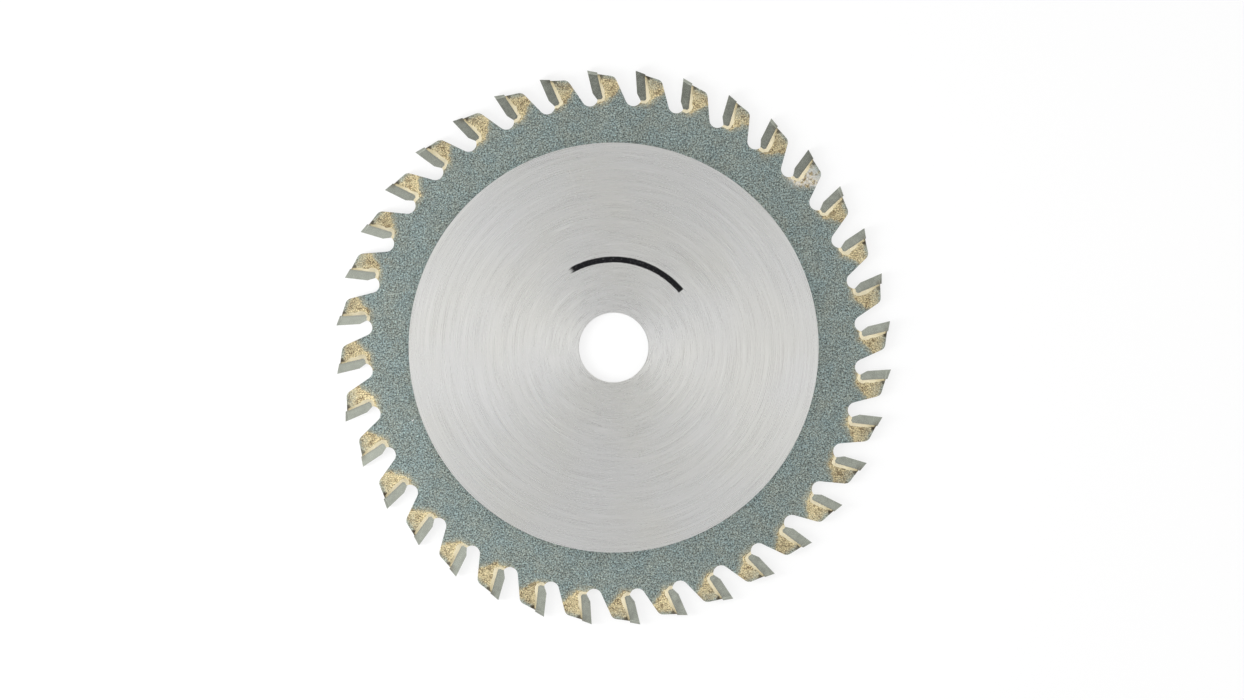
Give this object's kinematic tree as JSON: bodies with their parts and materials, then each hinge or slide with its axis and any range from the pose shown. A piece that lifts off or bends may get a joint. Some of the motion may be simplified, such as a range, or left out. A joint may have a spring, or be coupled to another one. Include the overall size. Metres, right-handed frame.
{
  "type": "circular saw blade",
  "caption": "Thin circular saw blade for a small table saw: ground steel plate with a round bore and brazed carbide tips in triple-chip form.",
  "frame": {"origin": "on the bore's axis at half the plate's thickness", "axes": "+Z along the bore's axis, towards the side from which the teeth cut counter-clockwise; the first tooth points along +X"},
  "size_m": [0.0798, 0.08, 0.0016],
  "materials": {
    "plate_steel": "centre ground in fine concentric lines, outer ring blasted matt grey-green",
    "carbide": "ground tungsten carbide, satin dark grey",
    "braze": "silver brazing filler, satin pale gold"
  },
  "bodies": {
    "root": {"blade_body": "plate_steel", "carbide_tip_01": "carbide", "carbide_tip_02": "carbide", "carbide_tip_03": "carbide", "carbide_tip_04": "carbide", "carbide_tip_05": "carbide", "carbide_tip_06": "carbide", "carbide_tip_07": "carbide", "carbide_tip_08": "carbide", "carbide_tip_09": "carbide", "carbide_tip_10": "carbide", "carbide_tip_11": "carbide", "carbide_tip_12": "carbide", "carbide_tip_13": "carbide", "carbide_tip_14": "carbide", "carbide_tip_15": "carbide", "carbide_tip_16": "carbide", "carbide_tip_17": "carbide", "carbide_tip_18": "carbide", "carbide_tip_19": "carbide", "carbide_tip_20": "carbide", "carbide_tip_21": "carbide", "carbide_tip_22": "carbide", "carbide_tip_23": "carbide", "carbide_tip_24": "carbide", "carbide_tip_25": "carbide", "carbide_tip_26": "carbide", "carbide_tip_27": "carbide", "carbide_tip_28": "carbide", "carbide_tip_29": "carbide", "carbide_tip_30": "carbide", "carbide_tip_31": "carbide", "carbide_tip_32": "carbide", "carbide_tip_33": "carbide", "carbide_tip_34": "carbide", "carbide_tip_35": "carbide", "carbide_tip_36": "carbide", "braze_joints": "braze"}
  },
  "joints": []
}
